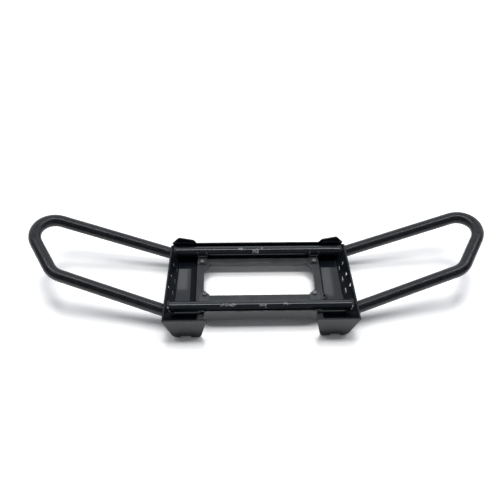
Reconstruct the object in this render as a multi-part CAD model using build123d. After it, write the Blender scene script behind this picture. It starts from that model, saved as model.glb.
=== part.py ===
from build123d import *
import math
import os

# Front bumper for a quad bike, lying on the floor as it would be set down.
# Millimetres. X runs across it, Y runs up its centre section, Z is off the floor.
# The origin is on the floor under the middle of the centre section.

# Wing tubes
wing_tube_diameter = 25.4
wing_tube_wall = 2.0
wing_bend_radius = 41.0
upper_arm_seat_y = 68.5
upper_arm_seat_z = 33.5
upper_arm_reach = 326.0
upper_arm_sweep = 55.0
upper_arm_rise = 92.0
lower_arm_seat_y = -81.0
lower_arm_seat_z = 30.5
lower_arm_reach = 236.5
lower_arm_sweep = 60.5
lower_arm_rise = 58.5

# Side plates of the centre section
plate_thickness = 3.0
plate_height = 63.0
plate_half_spacing = 193.0
plate_middle_y = -25.5
plate_near_y = -121.5
plate_far_y = 84.0
plate_near_corner_radius = 16.5
plate_far_corner_length = 15.0
plate_far_corner_drop = 15.0
plate_flare_degrees = 16.7
plate_taper_degrees = 2.1
plate_hole_diameter = 9.0
plate_slot_width = 6.5
plate_slot_length = 16.0
plate_hole_first_y = 31.5
plate_hole_pitch = 32.0
plate_hole_count = 3
plate_hole_z = 43.0
plate_hole_step = 5.0
plate_slot_z = 27.0
plate_slot_step = 3.3

# Near ears, which reach the floor, each with a notch in its lower edge
near_ear_width = 84.5
near_ear_tip_step = 14.0
near_ear_tip_radius = 10.0
ear_notch_inset = 40.0
ear_notch_width = 23.0
ear_notch_height = 6.0
ear_notch_radius = 5.0

# Far ears, rounded tongues bent inward at the far ends of the plates
far_ear_width = 51.0
far_ear_top_z = 56.5
far_ear_radius = 8.0
far_ear_bottom_z = 22.0

# Cross tubes
cross_tube_diameter = 22.0
cross_tube_wall = 2.0
cross_tube_z = 43.0
upper_cross_tube_y = 68.0
lower_cross_tube_y = -74.5

# Folded centre panel
panel_thickness = 2.5
panel_bottom_z = 17.5
panel_near_y = -91.3
panel_near_flange_top_z = 47.5
panel_near_flange_side_gap = 7.0
panel_near_flange_radius = 6.0
panel_notch_width = 14.5
panel_notch_far_y = -80.0
panel_far_flange_gap = 0.3
panel_far_flange_top_z = 51.5
panel_flange_foot_inset = 21.0
panel_flange_inset = 3.5
panel_horn_inner_z = 61.5
panel_horn_outer_z = 70.0
panel_horn_inner_inset = 52.0
panel_horn_outer_inset = 19.5
panel_horn_foot = 5.5
panel_horn_radius = 6.5
panel_opening_margin = 2.0

# Grille frame
frame_thickness = 3.0
frame_bottom_z = 30.5
frame_bay_width = 44.0
frame_side_border = 15.0
frame_near_border = 15.0
frame_far_border = 11.5
frame_corner_radius = 5.0
frame_opening_near_y = -41.5
frame_opening_far_y = 43.0
frame_opening_chamfer = 14.0

# Grille screws and nuts
screw_diameter = 5.0
screw_clearance = 0.3
screw_head_diameter = 9.5
screw_head_height = 3.5
screw_socket_width = 3.0
screw_socket_depth = 1.8
screw_point_length = 6.0
upper_screw_inset = 10.5
upper_screw_rise = 1.5
lower_screw_inset = 17.5
lower_screw_rise = 1.3
nut_width = 8.0
nut_height = 4.0

# Forked clips and flat tabs that hold the grille frame to the cross tubes
clip_width = 21.5
clip_foot_width = 18.0
clip_thickness = 2.0
clip_foot_margin = 5.0
clip_tube_gap = 0.3
clip_notch_width = 16.5
clip_notch_depth = 12.5
tab_corner_radius = 10.0

# Torn remains of the screen along the near edge of the grille opening
screen_thickness = 1.2
screen_stub_depth = 2.0
screen_tear_depth = 2.6
screen_tear_count = 14
screen_tear_step = 2.3
screen_tear_start = 0.7
screen_side_gap = 6.0

# Rubber grommet beside the grille frame
grommet_frame_gap = 4.5
grommet_rise = 17.0
grommet_diameter = 15.0
grommet_bore = 7.0
grommet_hole = 11.0
grommet_lip = 2.2

# Weld beads
bead_width = 2.4
bead_height = 3.0
bead_sides = 16

far_reach = 1000.0
panel_top_z = panel_bottom_z + panel_thickness
frame_top_z = frame_bottom_z + frame_thickness
wing_tube_radius = wing_tube_diameter / 2
cross_tube_radius = cross_tube_diameter / 2
plate_slope = math.tan(math.radians(plate_flare_degrees))
plate_level_thickness = plate_thickness / math.cos(math.radians(plate_flare_degrees))
panel_half_width = plate_half_spacing - (plate_height - panel_top_z) * plate_slope - plate_level_thickness
near_ear_inner_x = plate_half_spacing - near_ear_width
frame_half_width = panel_half_width - frame_bay_width
frame_near_y = frame_opening_near_y - frame_near_border
frame_far_y = frame_opening_far_y + frame_far_border
frame_opening_half_width = frame_half_width - frame_side_border
upper_screw_x = frame_half_width - upper_screw_inset
upper_screw_y = frame_opening_far_y + upper_screw_rise
lower_screw_x = frame_half_width - lower_screw_inset
lower_screw_y = frame_opening_near_y + lower_screw_rise


def plate_plane():
    """Plane of the right side plate's inner face, with its origin on the top edge."""
    flare = math.radians(plate_flare_degrees)
    taper = math.radians(plate_taper_degrees)
    along = Vector(-math.sin(taper), math.cos(taper), 0)
    outward = Vector(
        math.cos(flare) * math.cos(taper),
        math.cos(flare) * math.sin(taper),
        -math.sin(flare),
    )
    inner_edge = Vector(plate_half_spacing, plate_middle_y, plate_height) - outward * plate_thickness
    return Plane(origin=inner_edge, x_dir=along, z_dir=outward)


def beyond_plate(offset):
    """Everything on the outer side of a plane parallel to the right side plate."""
    block = Box(far_reach, far_reach, far_reach, align=(Align.CENTER, Align.CENTER, Align.MIN))
    return plate_plane().offset(offset) * block


def mirrored(part):
    return mirror(part, about=Plane.YZ)


def trim_between_plates(part):
    """Cuts a part back to the inner faces of both side plates."""
    block = beyond_plate(0)
    return part - block - mirrored(block)


def sheet_position(y, z):
    """Place on the side plate's own sketch plane of a point given by its Y and Z."""
    along = (y - plate_middle_y) / math.cos(math.radians(plate_taper_degrees))
    up = (z - plate_height) / math.cos(math.radians(plate_flare_degrees))
    return (along, up)


def plate_holes():
    """Two rows, of round holes and of slots, that rise towards the near end."""
    holes = Sketch()
    for number in range(plate_hole_count):
        y = plate_hole_first_y - number * plate_hole_pitch
        hole_z = plate_hole_z + number * plate_hole_step
        slot_z = plate_slot_z + number * plate_slot_step
        holes += Pos(*sheet_position(y, hole_z)) * Circle(plate_hole_diameter / 2)
        holes += Pos(*sheet_position(y, slot_z)) * SlotOverall(plate_slot_length, plate_slot_width)
    return holes


def side_profile():
    """Side plate seen from the side, with a rounded near corner and a cut far one."""
    corners = [
        (plate_near_y, 0),
        (plate_far_y, 0),
        (plate_far_y, plate_height - plate_far_corner_drop),
        (plate_far_y - plate_far_corner_length, plate_height),
        (plate_near_y, plate_height),
    ]
    outline = make_face(Polyline(*corners, close=True))
    near_corner = outline.vertices().sort_by(Axis.X)[:2].sort_by(Axis.Y)[0]
    return fillet(near_corner, plate_near_corner_radius)


def plate_web():
    """The flared side wall, before its ears are added."""
    length = plate_far_y - plate_near_y
    sheet = Rectangle(3 * length, 3 * plate_height) - plate_holes()
    sheet = plate_plane() * extrude(sheet, plate_thickness)
    return sheet & Plane.YZ * extrude(side_profile(), plate_half_spacing + plate_height)


def near_ear():
    """Tongue bent inward at the near end of the side plate, down to the floor."""
    taper = math.radians(plate_taper_degrees)
    outer_top_x = plate_half_spacing + (plate_middle_y - plate_near_y) * math.tan(taper)
    outer_bottom_x = outer_top_x - plate_height * plate_slope / math.cos(taper)
    corners = [
        (near_ear_inner_x, plate_height),
        (outer_top_x, plate_height),
        (outer_bottom_x, 0),
        (near_ear_inner_x + near_ear_tip_step, 0),
    ]
    outline = make_face(Polyline(*corners, close=True))
    outline = fillet(outline.vertices().sort_by(Axis.Y)[:2].sort_by(Axis.X)[1], plate_near_corner_radius)
    outline = fillet(outline.vertices().group_by(Axis.Y)[0].sort_by(Axis.X)[0], near_ear_tip_radius)
    notch = Rectangle(ear_notch_width, 2 * ear_notch_height)
    notch = fillet(notch.vertices(), ear_notch_radius)
    outline -= Pos(plate_half_spacing - ear_notch_inset, 0) * notch
    plane = Plane(origin=(0, plate_near_y, 0), x_dir=(1, 0, 0), z_dir=(0, -1, 0))
    tongue = plane * extrude(outline, -plate_thickness)
    return tongue - beyond_plate(plate_thickness)


def far_ear():
    """Rounded tongue bent inward at the far end of the side plate."""
    outline = Rectangle(
        far_ear_width + plate_height,
        far_ear_top_z - far_ear_bottom_z,
        align=(Align.MIN, Align.MIN),
    )
    outline = fillet(outline.vertices().sort_by(Axis.X)[:2].sort_by(Axis.Y)[1], far_ear_radius)
    outline = Pos(plate_half_spacing - far_ear_width, far_ear_bottom_z) * outline
    plane = Plane(origin=(0, plate_far_y, 0), x_dir=(1, 0, 0), z_dir=(0, -1, 0))
    tongue = plane * extrude(outline, plate_thickness)
    return tongue - beyond_plate(plate_thickness)


def side_plate():
    return plate_web() + near_ear() + far_ear()


def bend(before, corner, after, radius):
    """Ends of a bend of the given radius at a corner, and the middle of its arc."""
    back = (before - corner).normalized()
    on = (after - corner).normalized()
    half_angle = math.radians(back.get_angle(on)) / 2
    start = corner + back * (radius / math.tan(half_angle))
    end = corner + on * (radius / math.tan(half_angle))
    bisector = (back + on).normalized()
    middle = corner + bisector * (radius / math.sin(half_angle) - radius)
    return start, middle, end


def arm_line():
    """Start, corners and end of the right wing's centre line."""
    upper_x = plate_half_spacing - (plate_height - upper_arm_seat_z) * plate_slope
    lower_x = plate_half_spacing - (plate_height - lower_arm_seat_z) * plate_slope
    upper_seat = Vector(upper_x, upper_arm_seat_y, upper_arm_seat_z)
    lower_seat = Vector(lower_x, lower_arm_seat_y, lower_arm_seat_z)
    upper_run = Vector(upper_arm_reach, upper_arm_sweep, upper_arm_rise)
    lower_run = Vector(lower_arm_reach, lower_arm_sweep, lower_arm_rise)
    inward = 2 * wing_tube_diameter
    start = upper_seat - upper_run.normalized() * inward
    end = lower_seat - lower_run.normalized() * inward
    return start, upper_seat + upper_run, lower_seat + lower_run, end


def wing_path():
    start, upper_corner, lower_corner, end = arm_line()
    first = bend(start, upper_corner, lower_corner, wing_bend_radius)
    second = bend(upper_corner, lower_corner, end, wing_bend_radius)
    edges = [
        Line(start, first[0]),
        ThreePointArc(*first),
        Line(first[2], second[0]),
        ThreePointArc(*second),
        Line(second[2], end),
    ]
    return Wire(edges)


def along_path(path, radius):
    section = Plane(origin=path @ 0, z_dir=path % 0) * Circle(radius)
    return sweep(section, path=path)


def wing_tube():
    """One bent tube: two arms and a short straight end between two bends."""
    path = wing_path()
    tube = along_path(path, wing_tube_radius)
    tube -= along_path(path, wing_tube_radius - wing_tube_wall)
    return tube & beyond_plate(plate_thickness)


def arm_bead(seat, corner):
    """Weld bead round an arm on the outer face of the side plate."""
    outward = (corner - seat).normalized()
    plane = Plane(origin=seat, z_dir=outward)
    ring = RegularPolygon(wing_tube_radius + bead_width, bead_sides) - Circle(wing_tube_radius)
    sleeve = plane * extrude(ring, 4 * wing_tube_diameter)
    bead = sleeve & beyond_plate(plate_thickness)
    return bead - beyond_plate(plate_thickness + bead_height)


def upper_arm_bead():
    start, upper_corner, lower_corner, end = arm_line()
    return arm_bead(start, upper_corner)


def lower_arm_bead():
    start, upper_corner, lower_corner, end = arm_line()
    return arm_bead(end, lower_corner)


def along_x(y, section):
    """A bar along X at the height of the cross tubes, with the given section."""
    plane = Plane(origin=(0, y, cross_tube_z), x_dir=(0, 1, 0), z_dir=(1, 0, 0))
    return plane * extrude(section, far_reach / 4, both=True)


def cross_tube(y):
    section = Circle(cross_tube_radius) - Circle(cross_tube_radius - cross_tube_wall)
    return trim_between_plates(along_x(y, section))


def cross_tube_bead(y):
    """Weld bead round a cross tube's right end, in the corner of side plate and far ear."""
    ring = RegularPolygon(cross_tube_radius + bead_width, bead_sides) - Circle(cross_tube_radius)
    bead = along_x(y, ring) & beyond_plate(-bead_height)
    return bead - beyond_plate(0) - far_ear()


def opening_outline(margin):
    """Grille opening with chamfered corners, widened all round by a margin."""
    width = 2 * (frame_opening_half_width + margin)
    length = frame_opening_far_y - frame_opening_near_y + 2 * margin
    outline = Rectangle(width, length)
    outline = chamfer(outline.vertices(), frame_opening_chamfer)
    return Pos(0, (frame_opening_far_y + frame_opening_near_y) / 2) * outline


def screw_places():
    return [
        (upper_screw_x, upper_screw_y),
        (-upper_screw_x, upper_screw_y),
        (lower_screw_x, lower_screw_y),
        (-lower_screw_x, lower_screw_y),
    ]


def screw_holes():
    holes = Sketch()
    for place in screw_places():
        holes += Pos(*place) * Circle(screw_diameter / 2 + screw_clearance)
    return holes


def near_flange_half_width():
    return near_ear_inner_x + panel_near_flange_side_gap


def grommet_place():
    return (frame_half_width + grommet_frame_gap, frame_near_y + grommet_rise)


def far_flange_y():
    """Near face of the panel's far flange, just behind the far ears."""
    return plate_far_y + panel_far_flange_gap


def centre_panel():
    """Sheet folded up at its far edge and, between the ears, at its near edge."""
    near_y = plate_near_y + plate_thickness
    far_y = far_flange_y() + panel_thickness
    outline = Rectangle(far_reach, far_y - near_y, align=(Align.CENTER, Align.MIN))
    outline = Pos(0, near_y) * outline
    notch_half = near_flange_half_width() + panel_notch_width
    notch = Rectangle(2 * notch_half, panel_notch_far_y - plate_near_y, align=(Align.CENTER, Align.MIN))
    outline -= Pos(0, plate_near_y) * notch
    lip_length = panel_notch_far_y - panel_near_y
    lip = Rectangle(2 * near_flange_half_width(), lip_length, align=(Align.CENTER, Align.MIN))
    outline += Pos(0, panel_near_y) * lip
    outline -= opening_outline(panel_opening_margin)
    outline -= Pos(*grommet_place()) * Circle(grommet_hole / 2)
    sheet = Pos(0, 0, panel_bottom_z) * extrude(outline, panel_thickness)
    return trim_between_plates(sheet) + panel_near_flange() + panel_far_flange()


def panel_near_flange():
    height = panel_near_flange_top_z - panel_bottom_z
    outline = Rectangle(2 * near_flange_half_width(), height, align=(Align.CENTER, Align.MIN))
    outline = fillet(outline.vertices().sort_by(Axis.Y)[-2:], panel_near_flange_radius)
    plane = Plane(origin=(0, panel_near_y, panel_bottom_z), x_dir=(1, 0, 0), z_dir=(0, -1, 0))
    return plane * extrude(outline, -panel_thickness)


def panel_far_flange():
    """Far flange with a raised, sloping horn behind each far ear."""
    foot_x = plate_half_spacing - panel_flange_foot_inset
    side_x = plate_half_spacing - panel_flange_inset
    outer_x = plate_half_spacing - panel_horn_outer_inset
    inner_x = plate_half_spacing - panel_horn_inner_inset
    right = [
        (foot_x, panel_bottom_z),
        (side_x, panel_far_flange_top_z),
        (outer_x, panel_horn_outer_z),
        (inner_x, panel_horn_inner_z),
        (inner_x - panel_horn_foot, panel_far_flange_top_z),
    ]
    left = [(-x, z) for x, z in reversed(right)]
    outline = make_face(Polyline(*right, *left, close=True))
    raised = (panel_far_flange_top_z + panel_horn_inner_z) / 2
    outline = fillet(outline.vertices().filter_by(lambda corner: corner.Y > raised), panel_horn_radius)
    plane = Plane(origin=(0, far_flange_y(), 0), x_dir=(1, 0, 0), z_dir=(0, -1, 0))
    return plane * extrude(outline, -panel_thickness)


def grille_frame():
    """Flat frame round the opening, held clear of the panel by its clips and tabs."""
    outline = Rectangle(2 * frame_half_width, frame_far_y - frame_near_y, align=(Align.CENTER, Align.MIN))
    outline = Pos(0, frame_near_y) * fillet(outline.vertices(), frame_corner_radius)
    outline -= opening_outline(0)
    outline -= screw_holes()
    return Pos(0, 0, frame_bottom_z) * extrude(outline, frame_thickness)


def upper_clip():
    """Clip with a foot under the screw and a forked wall against the upper tube."""
    wall_y = upper_cross_tube_y - cross_tube_radius - clip_tube_gap
    foot_y = upper_screw_y - clip_foot_margin
    foot = Rectangle(clip_foot_width, wall_y - foot_y, align=(Align.CENTER, Align.MIN))
    foot = Pos(upper_screw_x, foot_y) * foot - screw_holes()
    foot = Pos(0, 0, frame_top_z) * extrude(foot, clip_thickness)
    wall_height = cross_tube_z + cross_tube_radius - frame_top_z
    wall = Rectangle(clip_width, wall_height, align=(Align.CENTER, Align.MIN))
    wall -= Pos(0, wall_height) * Rectangle(clip_notch_width, 2 * clip_notch_depth)
    plane = Plane(origin=(upper_screw_x, wall_y, frame_top_z), x_dir=(1, 0, 0), z_dir=(0, -1, 0))
    return foot + plane * extrude(wall, clip_thickness)


def lower_tab():
    """Flat tab on the frame that ends against the flank of the lower tube."""
    drop = cross_tube_z - frame_top_z - clip_thickness
    end_y = lower_cross_tube_y + math.sqrt(cross_tube_radius**2 - drop**2) + clip_tube_gap
    far_y = lower_screw_y + clip_foot_margin
    outline = Rectangle(clip_width, far_y - end_y, align=(Align.CENTER, Align.MIN))
    outline = fillet(outline.vertices().sort_by(Axis.Y)[-2:], tab_corner_radius)
    outline = Pos(lower_screw_x, end_y) * outline - screw_holes()
    return Pos(0, 0, frame_top_z) * extrude(outline, clip_thickness)


def screw(place):
    """Pan-head screw with a hexagon socket, its head on a clip or a tab."""
    x, y = place
    seat_z = frame_top_z + clip_thickness
    head = Pos(x, y, seat_z) * extrude(Circle(screw_head_diameter / 2), screw_head_height)
    rim = head.edges().sort_by(Axis.Z)[-1]
    head = chamfer(rim, screw_head_height / 4)
    socket_z = seat_z + screw_head_height - screw_socket_depth
    socket = RegularPolygon(screw_socket_width / 2, 6, major_radius=False)
    head -= Pos(x, y, socket_z) * extrude(socket, screw_head_height)
    end_z = frame_bottom_z - screw_point_length
    shank = Pos(x, y, end_z) * extrude(Circle(screw_diameter / 2), seat_z - end_z)
    return head + shank


def grille_screws():
    return Compound(children=[screw(place) for place in screw_places()])


def grille_nuts():
    nuts = []
    for place in screw_places():
        outline = RegularPolygon(nut_width / 2, 6, major_radius=False) - Circle(screw_diameter / 2)
        nuts.append(Pos(*place, frame_bottom_z - nut_height) * extrude(outline, nut_height))
    return Compound(children=nuts)


def screen_remains():
    """Torn stub of the screen, with an uneven edge, on the frame's near inner edge."""
    base_y = frame_opening_near_y
    screen_half_width = frame_opening_half_width - frame_opening_chamfer - screen_side_gap
    points = [(-screen_half_width, base_y)]
    for number in range(screen_tear_count + 1):
        x = -screen_half_width + 2 * screen_half_width * number / screen_tear_count
        tear = screen_tear_depth * abs(math.sin(screen_tear_step * number + screen_tear_start))
        points.append((x, base_y + screen_stub_depth + tear))
    points.append((screen_half_width, base_y))
    outline = make_face(Polyline(*points, close=True))
    return Pos(0, 0, frame_bottom_z) * extrude(outline, screen_thickness)


def grommet():
    """Rubber ring in a hole of the panel, with a lip above and below the sheet."""
    top = extrude(Circle(grommet_diameter / 2), grommet_lip)
    neck = extrude(Circle(grommet_hole / 2), panel_thickness)
    ring = Pos(0, 0, panel_top_z) * top
    ring += Pos(0, 0, panel_bottom_z) * neck
    ring += Pos(0, 0, panel_bottom_z - grommet_lip) * top
    ring = chamfer(ring.edges().group_by(Axis.Z)[-1], grommet_lip / 3)
    height = panel_thickness + 2 * grommet_lip
    bore = Pos(0, 0, panel_bottom_z - grommet_lip) * extrude(Circle(grommet_bore / 2), height)
    return Pos(*grommet_place()) * (ring - bore)


def write(part, name):
    export_step(part, f"parts/{name}.step")


def write_pair(part, name):
    """Writes a right-hand piece and its mirror image."""
    write(part, f"right_{name}")
    write(mirrored(part), f"left_{name}")


os.makedirs("parts", exist_ok=True)
write_pair(wing_tube(), "wing_tube")
write_pair(side_plate(), "side_plate")
write_pair(upper_arm_bead(), "upper_arm_weld")
write_pair(lower_arm_bead(), "lower_arm_weld")
write(cross_tube(upper_cross_tube_y), "upper_cross_tube")
write(cross_tube(lower_cross_tube_y), "lower_cross_tube")
write_pair(cross_tube_bead(upper_cross_tube_y), "upper_tube_weld")
write_pair(cross_tube_bead(lower_cross_tube_y), "lower_tube_weld")
write(centre_panel(), "centre_panel")
write(grille_frame(), "grille_frame")
write(screen_remains(), "screen_remains")
write_pair(upper_clip(), "upper_clip")
write_pair(lower_tab(), "lower_tab")
write(grille_screws(), "grille_screws")
write(grille_nuts(), "grille_nuts")
write(grommet(), "panel_grommet")
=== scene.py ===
import math
import random
import bmesh
import bpy
from mathutils import Matrix, Vector


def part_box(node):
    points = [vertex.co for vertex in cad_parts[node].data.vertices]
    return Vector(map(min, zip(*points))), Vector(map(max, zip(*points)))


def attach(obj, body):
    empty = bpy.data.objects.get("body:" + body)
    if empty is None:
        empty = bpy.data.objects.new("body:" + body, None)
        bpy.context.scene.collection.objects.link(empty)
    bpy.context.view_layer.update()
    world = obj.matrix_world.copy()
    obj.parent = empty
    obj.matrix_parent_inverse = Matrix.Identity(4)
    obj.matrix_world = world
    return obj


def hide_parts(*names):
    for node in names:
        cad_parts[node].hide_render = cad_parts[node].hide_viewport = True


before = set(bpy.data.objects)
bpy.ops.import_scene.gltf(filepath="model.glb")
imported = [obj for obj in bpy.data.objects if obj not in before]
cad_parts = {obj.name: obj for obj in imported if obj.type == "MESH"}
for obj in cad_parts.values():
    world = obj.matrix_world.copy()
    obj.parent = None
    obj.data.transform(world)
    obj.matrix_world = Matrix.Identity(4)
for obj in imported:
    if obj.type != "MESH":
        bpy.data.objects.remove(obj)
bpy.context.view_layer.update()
scene = bpy.context.scene

# Lengths are in metres throughout.

# Measures of the solids that the added pieces follow
WING_TUBE_RADIUS = 0.0127
CROSS_TUBE_RADIUS = 0.011
CROSS_TUBE_Z = 0.043
UPPER_TUBE_Y = 0.068
LOWER_TUBE_Y = -0.0745
PLATE_X = 0.193
PLATE_MIDDLE_Y = -0.0255
PLATE_HEIGHT = 0.063
PLATE_THICKNESS = 0.003
PLATE_FLARE = math.radians(16.7)
PLATE_TAPER = math.radians(2.1)
# Each arm: Y and Z of its seat on the side plate, and its run away from there
UPPER_ARM = ((0.0685, 0.0335), (0.326, 0.055, 0.092))
LOWER_ARM = ((-0.081, 0.0305), (0.2365, 0.0605, 0.0585))

# Lip of the panel's opening
OPENING_HALF_WIDTH = 0.12
OPENING_FAR_Y = 0.045
OPENING_NEAR_Y = -0.0435
OPENING_CHAMFER = 0.014
LIP_THICKNESS = 0.0016
LIP_BOTTOM_Z = 0.0199
LIP_TOP_Z = 0.0305

# Rounded edges
MERGE_DISTANCE = 0.00002
FLAT_ANGLE = math.radians(1)
EDGE_ANGLE = math.radians(35)
EDGE_SEGMENTS = 3

# Weld beads
RIPPLE_LENGTH = 0.0028
RIPPLE_STEPS = 8
RIPPLE_DEPTH = 0.18
BEAD_SIZES = (0.85, 1.1)
BEAD_LEG = 0.0023
BEAD_RISE = 0.0027
BEAD_ROOT = 0.0006
BEAD_TOE = 0.0004
# Shares of the leg and the rise along the bead's crown, and of the rise at its back
BEAD_CROWN = ((0.95, 0.28), (0.72, 0.62), (0.36, 0.90), (0.02, 1.0))
BEAD_BACK = 0.95

# Torn screen: short wire ends along the opening's near edge, on one wire that runs its whole length
WIRE_SIDES = 5
WIRE_LIFT = 0.0006
TORN_SEED = 7
TORN_THICKNESS = 0.0007
TORN_START = 0.0003
TORN_LENGTHS = (0.0008, 0.0026)
TORN_SPACING = (0.0014, 0.0026)
TORN_LEAN = 0.0006
TORN_MIDDLE_LIFT = (-0.0002, 0.0003)
TORN_END_LIFT = (-0.0003, 0.0006)
LONG_SHARE = 0.06
LONG_EXTRA = 0.0018
EDGE_WIRE_THICKNESS = 0.0009
EDGE_WIRE_INSET = 0.0007
EDGE_WIRE_PARTS = 60
EDGE_WIRE_SWAY = 0.0002

# Paint: the scales of its noises, and the stops between which they are spread
TONE_SCALE = 35
TONE_STOPS = (0.35, 0.7)
GLOSS_SCALE = 90
GLOSS_STOPS = (0.3, 0.7)
SPECK_SCALE = 700
SPECK_STOPS = (0.72, 0.8)
SPECK_AMOUNT = 0.35
SPECK_LIGHTNESS = 3
SCRATCH_STOPS = (0.84, 0.92)
PATCH_MARGIN = 0.0015
RELIEF_DEPTH = 0.0004
BLACK = (0.007, 0.009, 0.012)
DUSTY_BLACK = (0.013, 0.016, 0.020)

# Studio
FLOOR_SIZE = 40
FLOOR_COLOUR = (0.9, 0.9, 0.9)
FLOOR_SEEN = (1.2, 1.2, 1.2)
FLOOR_ROUGHNESS = 0.7
SUN_TILT = math.radians(22)
SUN_ANGLE = math.radians(18)
SUN_STRENGTH = 1.3
# World: where its light changes across the room, overhead and low down, and its strengths there
SIDE_EDGES = (-0.2, 0.4)
SIDE_LIGHT = (0.2, 0.9)
SIDE_SHINE = (0.12, 1)
OVER_EDGES = (0.845, 0.875)
OVER_LIGHT = (1, 0.3)
LOW_EDGES = (0.25, 0.65)
LOW_LIGHT = (0.6, 1)
ROOM_TINT = (0.96, 0.99, 1.04)

# Mix node: its factor, first and second socket, and its result, for each kind of data
MIX_SOCKETS = {"RGBA": ((0, 6, 7), 2), "FLOAT": ((0, 2, 3), 0)}


# Materials

def node_material(name):
    """A new material with its node tree and principled shader."""
    material = bpy.data.materials.new(name)
    material.use_nodes = True
    tree = material.node_tree
    return material, tree, tree.nodes["Principled BSDF"]


def add(tree, kind, **values):
    """A new node, with values for its sockets or its own settings."""
    node = tree.nodes.new(kind)
    for key, value in values.items():
        if key in node.inputs:
            node.inputs[key].default_value = value
        else:
            setattr(node, key, value)
    return node


def put(tree, socket, value):
    """Sets a socket to a number or a colour, or links it to another node's output."""
    if isinstance(value, (int, float)):
        socket.default_value = value
    elif isinstance(value, tuple):
        socket.default_value = (*value, 1)
    else:
        tree.links.new(value, socket)


def maths(tree, operation, first, second):
    node = add(tree, "ShaderNodeMath", operation=operation)
    put(tree, node.inputs[0], first)
    put(tree, node.inputs[1], second)
    return node.outputs["Value"]


def mix(tree, kind, factor, first, second):
    node = add(tree, "ShaderNodeMix", data_type=kind)
    sockets, result = MIX_SOCKETS[kind]
    for socket, value in zip(sockets, (factor, first, second)):
        put(tree, node.inputs[socket], value)
    return node.outputs[result]


def noise(tree, scale, detail, roughness=0.55, stretch=(1, 1, 1)):
    """Noise in the part's own metres, stretched along chosen axes."""
    place = add(tree, "ShaderNodeTexCoord")
    mapping = add(tree, "ShaderNodeMapping", Scale=stretch)
    tree.links.new(place.outputs["Object"], mapping.inputs["Vector"])
    node = add(tree, "ShaderNodeTexNoise", Scale=scale, Detail=detail, Roughness=roughness)
    tree.links.new(mapping.outputs["Vector"], node.inputs["Vector"])
    return node.outputs["Fac"]


def ramp(tree, source, stops, colours):
    """Turns a value into a grey or a colour, between two stops."""
    node = tree.nodes.new("ShaderNodeValToRGB")
    tree.links.new(source, node.inputs["Fac"])
    for point, position, colour in zip(node.color_ramp.elements, stops, colours):
        point.position = position
        if isinstance(colour, (int, float)):
            colour = (colour, colour, colour)
        point.color = (*colour, 1)
    return node.outputs["Color"]


def fade(tree, coordinate, edges, values):
    """A smooth change from one value to another between two values of a coordinate."""
    node = add(tree, "ShaderNodeMapRange", interpolation_type="SMOOTHSTEP")
    node.inputs["From Min"].default_value, node.inputs["From Max"].default_value = edges
    node.inputs["To Min"].default_value, node.inputs["To Max"].default_value = values
    tree.links.new(coordinate, node.inputs["Value"])
    return node.outputs["Result"]


def patch(tree, box, margin):
    """One inside a box of the part's space, fading out at its faces."""
    place = add(tree, "ShaderNodeTexCoord")
    split = add(tree, "ShaderNodeSeparateXYZ")
    tree.links.new(place.outputs["Object"], split.inputs["Vector"])
    mask = 1
    for axis, (low, high) in zip("XYZ", box):
        rise = fade(tree, split.outputs[axis], (low - margin, low + margin), (0, 1))
        fall = fade(tree, split.outputs[axis], (high - margin, high + margin), (1, 0))
        mask = maths(tree, "MULTIPLY", mask, maths(tree, "MULTIPLY", rise, fall))
    return mask


def patches(tree, boxes, margin=PATCH_MARGIN):
    """One inside any of the boxes."""
    mask = 0
    for box in boxes:
        mask = maths(tree, "MAXIMUM", mask, patch(tree, box, margin))
    return mask


def both_sides(boxes):
    """Boxes of the right side, each with its mirror image on the left."""
    return [((-high, -low), y, z) for (low, high), y, z in boxes] + boxes


def scratches(tree, boxes, amount, scale=420, stretch=(0.35, 1, 1)):
    """Scratched spots inside the boxes, as a mask with ragged edges."""
    area = patches(tree, boxes)
    grain = noise(tree, scale, 5, 0.65, stretch)
    total = maths(tree, "ADD", grain, maths(tree, "MULTIPLY", area, amount))
    return maths(tree, "MULTIPLY", ramp(tree, total, SCRATCH_STOPS, (0, 1)), area)


def paint(name, colour, dust, roughness, grain, bump, specular=0.5, metallic=0, wear_and_shade=None):
    """Painted steel: slight tone changes, a little dust, uneven gloss, fine grain and wear, with painted
    shade where the wear function gives it.
    """
    material, tree, shader = node_material(name)
    base = ramp(tree, noise(tree, TONE_SCALE, 4), TONE_STOPS, (colour, dust))
    specks = ramp(tree, noise(tree, SPECK_SCALE, 2, 0.5), SPECK_STOPS, (0, SPECK_AMOUNT))
    base = mix(tree, "RGBA", specks, base, tuple(SPECK_LIGHTNESS * value for value in dust))
    gloss = ramp(tree, noise(tree, GLOSS_SCALE, 3), GLOSS_STOPS, roughness)
    if wear_and_shade:
        for mask, tone, rough in wear_and_shade(tree):
            base = mix(tree, "RGBA", mask, base, tone)
            gloss = mix(tree, "FLOAT", mask, gloss, rough)
    tree.links.new(base, shader.inputs["Base Color"])
    tree.links.new(gloss, shader.inputs["Roughness"])
    relief = add(tree, "ShaderNodeBump", Strength=bump, Distance=RELIEF_DEPTH)
    tree.links.new(noise(tree, grain, 2), relief.inputs["Height"])
    tree.links.new(relief.outputs["Normal"], shader.inputs["Normal"])
    shader.inputs["Specular IOR Level"].default_value = specular
    shader.inputs["Metallic"].default_value = metallic
    return material


# Each kind of wear gives its masks, with the colour and the roughness that show there; the panel's also
# gives painted shade.

def upper_tube_wear(tree):
    marks = scratches(tree, [
        ((-0.0136, 0.0017), (0.057, 0.066), (0.046, 0.056)),
        ((-0.044, -0.033), (0.063, 0.070), (0.050, 0.056)),
        ((0.006, 0.011), (0.063, 0.070), (0.050, 0.056)),
    ], 0.42)
    return [(marks, (0.22, 0.22, 0.23), 0.5)]


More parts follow.
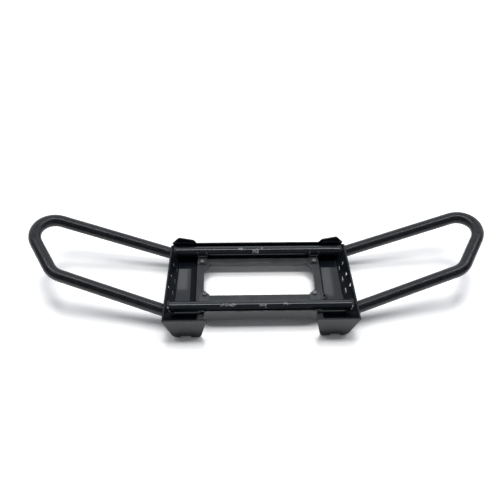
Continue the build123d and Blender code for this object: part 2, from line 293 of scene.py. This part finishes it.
def lower_tube_wear(tree):
    marks = scratches(tree, [
        ((-0.083, -0.048), (-0.082, -0.074), (0.050, 0.056)),
        ((-0.004, 0.0125), (-0.084, -0.076), (0.048, 0.055)),
        ((0.045, 0.063), (-0.081, -0.074), (0.050, 0.056)),
    ], 0.36)
    return [(marks, (0.20, 0.20, 0.21), 0.5)]


def weld_wear(tree):
    """Paint knocked off the lower cross tube's beads in spots, down to a cream primer."""
    spots = scratches(tree, both_sides([
        ((0.17, 0.2), (-0.088, -0.074), (0.036, 0.054)),
        ((0.187, 0.21), (-0.084, -0.062), (0.034, 0.050)),
    ]), 0.36, 260, (1, 1, 1))
    return [(spots, (0.42, 0.40, 0.36), 0.6)]


def panel_wear_and_painted_shade(tree):
    """Marks on the near flange, and painted shade: a dull dark band on each side of the frame."""
    marks = scratches(tree, [
        ((0.0057, 0.0117), (-0.093, -0.088), (0.044, 0.049)),
        ((-0.051, -0.045), (-0.093, -0.088), (0.016, 0.021)),
    ], 0.5)
    # Painted shade: near-black, rough bands on the panel beside the frame, where shade lies.
    painted_shade_bands = patches(tree, [
        ((-0.1475, -0.1335), (-0.056, 0.040), (0.018, 0.021)),
        ((0.1325, 0.1385), (-0.056, 0.040), (0.018, 0.021)),
    ], 0.0006)
    return [(marks, (0.002, 0.002, 0.002), 0.5), (painted_shade_bands, (0.002, 0.003, 0.005), 0.9)]


def ear_edges(tree):
    """The near ears' edges keep their black paint."""
    ears = patches(tree, [((-0.25, 0.25), (-0.13, -0.115), (-0.01, 0.06))])
    return [(ears, (0.010, 0.012, 0.015), 0.25)]


satin = paint("satin black", (0.004, 0.005, 0.007), (0.010, 0.012, 0.016), (0.20, 0.42), 420, 0.25, 0.45)
gloss = paint("gloss black", BLACK, DUSTY_BLACK, (0.16, 0.26), 700, 0.05, 0.33)
upper_gloss, lower_gloss = (
    paint(f"{name} tube black", BLACK, DUSTY_BLACK, (0.07, 0.13), 400, 0.015, 0.6, wear_and_shade=wear_and_shade)
    for name, wear_and_shade in (("upper", upper_tube_wear), ("lower", lower_tube_wear))
)
weld = paint(
    "painted weld", (0.007, 0.008, 0.010), (0.014, 0.015, 0.017), (0.25, 0.4), 500, 0.2, wear_and_shade=weld_wear)
panel = paint(
    "panel black", (0.006, 0.008, 0.012), (0.012, 0.015, 0.020), (0.04, 0.07), 500, 0.006, 0.46,
    wear_and_shade=panel_wear_and_painted_shade)
grey = paint("frame grey", (0.014, 0.016, 0.018), (0.028, 0.030, 0.033), (0.45, 0.6), 600, 0.15)
# Lighter paint for the rounded edges: a painted highlight along them, partly rubbed paint.
highlight_and_rubbed = paint(
    "rubbed edge", (0.035, 0.037, 0.040), (0.17, 0.175, 0.18), (0.25, 0.4), 600, 0.05, wear_and_shade=ear_edges)
# Lighter paint for the side plates' edges: a painted highlight along them, partly rubbed paint.
plate_edge_highlight = paint(
    "plate edge", (0.012, 0.014, 0.017), (0.07, 0.072, 0.075), (0.25, 0.4), 600, 0.05, wear_and_shade=ear_edges)
tab_grey = paint("tab grey", (0.030, 0.033, 0.038), (0.050, 0.053, 0.058), (0.4, 0.55), 600, 0.15)
metal = paint("dull zinc", (0.20, 0.20, 0.205), (0.34, 0.34, 0.34), (0.22, 0.34), 700, 0.08, metallic=1)
rubber = paint("rubber", (0.008, 0.008, 0.008), (0.014, 0.014, 0.014), (0.5, 0.6), 700, 0.1)


# Pieces

def new_object(name, data):
    made = bpy.data.objects.new(name, data)
    scene.collection.objects.link(made)
    return made


def new_piece(name, work):
    """A piece from a worked mesh, which is used up."""
    mesh = bpy.data.meshes.new(name)
    work.to_mesh(mesh)
    work.free()
    return new_object(name, mesh)


def coat(piece, *materials):
    """Gives a piece these materials alone."""
    piece.data.materials.clear()
    for material in materials:
        piece.data.materials.append(material)


def show(piece, node, *materials):
    """Puts a piece in the place of a node, with these materials, and hides the node."""
    coat(piece, *materials)
    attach(piece, "root")
    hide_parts(node)


def bridge(work, rings):
    """Faces between each ring of points and the next."""
    for here, on in zip(rings, rings[1:]):
        for number in range(len(here)):
            after = (number + 1) % len(here)
            work.faces.new((here[number], here[after], on[after], on[number]))


def rounded(node, width, material, edge, clamp=False):
    """A copy of a node whose sharp edges are rounded and painted lighter: a painted highlight along each
    edge, with paint rubbed as handling leaves it.
    """
    mesh = bpy.data.objects[node].data.copy()
    mesh.name = f"{node}_rounded"
    work = bmesh.new()
    work.from_mesh(mesh)
    bmesh.ops.remove_doubles(work, verts=work.verts, dist=MERGE_DISTANCE)
    bmesh.ops.dissolve_limit(work, angle_limit=FLAT_ANGLE, verts=work.verts, edges=work.edges)
    work.to_mesh(mesh)
    work.free()
    for face in mesh.polygons:
        face.use_smooth = True
    piece = new_object(mesh.name, mesh)
    bevel = piece.modifiers.new("edges", "BEVEL")
    bevel.limit_method = "ANGLE"
    bevel.angle_limit = EDGE_ANGLE
    bevel.width = width
    bevel.segments = EDGE_SEGMENTS
    # The rounded edges take the second material, whose lighter paint is a painted highlight.
    bevel.material = 1
    bevel.use_clamp_overlap = clamp
    level = piece.modifiers.new("level", "WEIGHTED_NORMAL")
    level.mode = "FACE_AREA"
    level.weight = 100
    level.keep_sharp = False
    show(piece, node, material, edge)


def bead_mesh(centre, axis, radius, face, normal, seed):
    """A rippled fillet weld round a tube where it meets a plate's face."""
    axis = axis.normalized()
    first = axis.orthogonal().normalized()
    second = axis.cross(first)
    ripples = round(2 * math.pi * radius / RIPPLE_LENGTH)
    steps = ripples * RIPPLE_STEPS
    dice = random.Random(seed)
    sizes = [dice.uniform(*BEAD_SIZES) for ripple in range(ripples)]
    work = bmesh.new()
    rings = []
    for step in range(steps):
        angle = 2 * math.pi * step / steps
        radial = first * math.cos(angle) + second * math.sin(angle)
        foot = centre + radial * radius
        foot += axis * ((face - foot).dot(normal) / axis.dot(normal))
        spread = (radial - normal * radial.dot(normal)).normalized()
        ripple, phase = divmod(step, RIPPLE_STEPS)
        swell = math.sin(math.pi * phase / RIPPLE_STEPS)
        size = sizes[ripple] * (1 - RIPPLE_DEPTH + RIPPLE_DEPTH * swell)
        leg, rise = BEAD_LEG * size, BEAD_RISE * size
        section = [foot - spread * BEAD_ROOT - axis * BEAD_ROOT, foot + spread * leg - axis * BEAD_TOE]
        section += [foot + spread * leg * out + axis * rise * up for out, up in BEAD_CROWN]
        section.append(foot - spread * BEAD_ROOT + axis * rise * BEAD_BACK)
        rings.append([work.verts.new(point) for point in section])
    bridge(work, rings + rings[:1])
    bmesh.ops.recalc_face_normals(work, faces=work.faces)
    for side in work.faces:
        side.smooth = True
    return work


def weld_beads(side):
    """The beads of the arms on a plate's outer face, and of the cross tubes on its inner face."""
    normal = Vector((
        math.cos(PLATE_FLARE) * math.cos(PLATE_TAPER),
        math.cos(PLATE_FLARE) * math.sin(PLATE_TAPER),
        -math.sin(PLATE_FLARE),
    ))
    outer = Vector((PLATE_X, PLATE_MIDDLE_Y, PLATE_HEIGHT))
    inner = outer - normal * PLATE_THICKNESS
    joints = []
    for name, ((y, z), run) in (("upper_arm", UPPER_ARM), ("lower_arm", LOWER_ARM)):
        x = PLATE_X - (PLATE_HEIGHT - z) * math.tan(PLATE_FLARE)
        joints.append((name, (x, y, z), run, WING_TUBE_RADIUS, outer))
    for name, y in (("upper_tube", UPPER_TUBE_Y), ("lower_tube", LOWER_TUBE_Y)):
        joints.append((name, (PLATE_X, y, CROSS_TUBE_Z), (-1, 0, 0), CROSS_TUBE_RADIUS, inner))
    for name, centre, run, radius, face in joints:
        work = bead_mesh(Vector(centre), Vector(run), radius, face, normal, name + side)
        if side == "left":
            bmesh.ops.scale(work, vec=(-1, 1, 1), verts=work.verts)
            bmesh.ops.reverse_faces(work, faces=work.faces)
        node = f"{side}_{name}_weld"
        show(new_piece(f"{node}_bead", work), node, weld)


def wire(work, points, thickness):
    """A thin bent wire along a few points."""
    rings = []
    for index, point in enumerate(points):
        before = points[max(index - 1, 0)]
        after = points[min(index + 1, len(points) - 1)]
        along = (after - before).normalized()
        first = along.orthogonal().normalized()
        second = along.cross(first)
        ring = []
        for number in range(WIRE_SIDES):
            angle = 2 * math.pi * number / WIRE_SIDES
            outward = first * math.cos(angle) + second * math.sin(angle)
            ring.append(work.verts.new(point + outward * thickness / 2))
        rings.append(ring)
    bridge(work, rings)
    work.faces.new(list(reversed(rings[0])))
    work.faces.new(rings[-1])


def torn_screen():
    """Torn ends of the screen's wires on the near edge of the frame's opening."""
    low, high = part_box("screen_remains")
    dice = random.Random(TORN_SEED)
    work = bmesh.new()
    z = low.z + WIRE_LIFT
    x = low.x
    while x < high.x:
        length = dice.uniform(*TORN_LENGTHS)
        if dice.random() < LONG_SHARE:
            length += LONG_EXTRA
        lean = dice.uniform(-TORN_LEAN, TORN_LEAN)
        start = Vector((x, low.y - TORN_START, z))
        middle = start + Vector((lean / 2, length / 2, dice.uniform(*TORN_MIDDLE_LIFT)))
        end = start + Vector((lean, length, dice.uniform(*TORN_END_LIFT)))
        wire(work, [start, middle, end], TORN_THICKNESS)
        x += dice.uniform(*TORN_SPACING)
    y = low.y + EDGE_WIRE_INSET
    points = []
    for number in range(EDGE_WIRE_PARTS + 1):
        points.append(Vector((
            low.x + (high.x - low.x) * number / EDGE_WIRE_PARTS,
            y + dice.uniform(-EDGE_WIRE_SWAY, EDGE_WIRE_SWAY),
            z + dice.uniform(-EDGE_WIRE_SWAY, EDGE_WIRE_SWAY),
        )))
    wire(work, points, EDGE_WIRE_THICKNESS)
    show(new_piece("torn_screen", work), "screen_remains", grey)


def opening_lip():
    """The thin lip that stands up round the panel's opening, but for its near side."""
    x, far, near, cut = OPENING_HALF_WIDTH, OPENING_FAR_Y, OPENING_NEAR_Y, OPENING_CHAMFER
    corners = [Vector(corner) for corner in (
        (-x, near + cut), (-x, far - cut), (-x + cut, far), (x - cut, far), (x, far - cut), (x, near + cut),
    )]
    work = bmesh.new()
    rings = []
    for index, corner in enumerate(corners):
        before = corner - corners[max(index - 1, 0)]
        after = corners[min(index + 1, len(corners) - 1)] - corner
        along = (before.normalized() + after.normalized()).normalized()
        away = Vector((-along.y, along.x))
        away /= max(abs(along.dot(run.normalized())) for run in (before, after))
        outer = corner + away * LIP_THICKNESS
        rings.append([work.verts.new((*point, z)) for point, z in (
            (corner, LIP_BOTTOM_Z), (corner, LIP_TOP_Z), (outer, LIP_TOP_Z), (outer, LIP_BOTTOM_Z),
        )])
    bridge(work, rings)
    work.faces.new(rings[0])
    work.faces.new(rings[-1])
    bmesh.ops.recalc_face_normals(work, faces=work.faces)
    piece = new_piece("opening_lip", work)
    coat(piece, panel)
    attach(piece, "root")


for side in ("right", "left"):
    coat(bpy.data.objects[f"{side}_wing_tube"], satin)
    rounded(f"{side}_side_plate", 0.0006, gloss, plate_edge_highlight, clamp=True)
    rounded(f"{side}_upper_clip", 0.0006, grey, highlight_and_rubbed)
    rounded(f"{side}_lower_tab", 0.0004, tab_grey, highlight_and_rubbed)
    weld_beads(side)
rounded("centre_panel", 0.0008, panel, highlight_and_rubbed)
rounded("grille_frame", 0.0005, grey, highlight_and_rubbed)
opening_lip()
torn_screen()
for node, material in (
    ("upper_cross_tube", upper_gloss),
    ("lower_cross_tube", lower_gloss),
    ("grille_screws", metal),
    ("grille_nuts", metal),
    ("panel_grommet", rubber),
):
    coat(bpy.data.objects[node], material)


# Studio

def make_floor():
    """Pale floor under the bumper, white to the camera, in gloss and through glass. It keeps the shadow."""
    bpy.ops.mesh.primitive_plane_add(size=FLOOR_SIZE, location=(0, 0, 0))
    floor = bpy.context.object
    floor.name = "floor"
    material, tree, shader = node_material("pale floor")
    shader.inputs["Roughness"].default_value = FLOOR_ROUGHNESS
    shader.inputs["Specular IOR Level"].default_value = 0
    ray = tree.nodes.new("ShaderNodeLightPath")
    seen = maths(tree, "MAXIMUM", ray.outputs["Is Camera Ray"], ray.outputs["Is Glossy Ray"])
    seen = maths(tree, "MAXIMUM", seen, ray.outputs["Is Transmission Ray"])
    tree.links.new(mix(tree, "RGBA", seen, FLOOR_COLOUR, FLOOR_SEEN), shader.inputs["Base Color"])
    floor.data.materials.append(material)
    return floor


def area_light(name, place, size, power):
    """A rectangular lamp that shines straight down."""
    light = bpy.data.lights.new(name, "AREA")
    light.shape = "RECTANGLE"
    light.size, light.size_y = size
    light.energy = power
    new_object(name, light).location = place


def sun_light(name):
    """Even soft light over the whole floor, from the far side. It doesn't show in gloss."""
    light = bpy.data.lights.new(name, "SUN")
    light.angle = SUN_ANGLE
    light.energy = SUN_STRENGTH
    lamp = new_object(name, light)
    lamp.rotation_euler = (-SUN_TILT, 0, 0)
    lamp.visible_glossy = False


def make_world():
    """White to the camera, and to gloss beyond the bumper. Its light is strongest high on the far side."""
    world = bpy.data.worlds.new("studio")
    world.use_nodes = True
    scene.world = world
    tree = world.node_tree
    tree.nodes.clear()
    direction = tree.nodes.new("ShaderNodeTexCoord")
    split = tree.nodes.new("ShaderNodeSeparateXYZ")
    tree.links.new(direction.outputs["Generated"], split.inputs["Vector"])
    across, height = split.outputs["Y"], split.outputs["Z"]
    ray = tree.nodes.new("ShaderNodeLightPath")
    camera_ray = ray.outputs["Is Camera Ray"]
    gloss_ray = maths(tree, "MAXIMUM", ray.outputs["Is Glossy Ray"], ray.outputs["Is Transmission Ray"])
    low = fade(tree, height, LOW_EDGES, LOW_LIGHT)
    light = maths(tree, "MULTIPLY", fade(tree, across, SIDE_EDGES, SIDE_LIGHT), low)
    strength = mix(tree, "FLOAT", gloss_ray, light, fade(tree, across, SIDE_EDGES, SIDE_SHINE))
    strength = maths(tree, "MULTIPLY", strength, fade(tree, height, OVER_EDGES, OVER_LIGHT))
    room = tree.nodes.new("ShaderNodeBackground")
    tree.links.new(mix(tree, "RGBA", camera_ray, ROOM_TINT, (1, 1, 1)), room.inputs["Color"])
    tree.links.new(mix(tree, "FLOAT", camera_ray, strength, 1), room.inputs["Strength"])
    output = tree.nodes.new("ShaderNodeOutputWorld")
    tree.links.new(room.outputs["Background"], output.inputs["Surface"])


def make_camera():
    """The photograph's view: place, downward tilt, turn and roll, and focal length in pixels."""
    place = Vector((-0.0552, -0.6501, 0.952))
    tilt = math.radians(51.54)
    turn = math.radians(2.98)
    roll = math.radians(-1.82)
    focal_pixels = 524
    image_pixels = 500
    forward = Vector((math.sin(turn) * math.cos(tilt), math.cos(turn) * math.cos(tilt), -math.sin(tilt)))
    level = Vector((math.cos(turn), -math.sin(turn), 0))
    down = forward.cross(level)
    right = math.cos(roll) * level + math.sin(roll) * down
    down = -math.sin(roll) * level + math.cos(roll) * down
    data = bpy.data.cameras.new("camera")
    data.sensor_width = 36
    data.lens = data.sensor_width * focal_pixels / image_pixels
    camera = new_object("camera", data)
    turned = Matrix((right, -down, -forward)).transposed().to_4x4()
    camera.matrix_world = Matrix.Translation(place) @ turned
    scene.camera = camera


make_floor()
area_light("overhead", (0.1, 0.14, 1.4), (2.2, 0.18), 11)
area_light("far_left", (-0.305, 0.858, 1.2), (0.05, 0.145), 0.037)
area_light("far_right", (0.407, 0.83, 1.2), (0.045, 0.18), 0.038)
sun_light("far_sun")
make_world()
make_camera()
scene.view_settings.view_transform = "Standard"
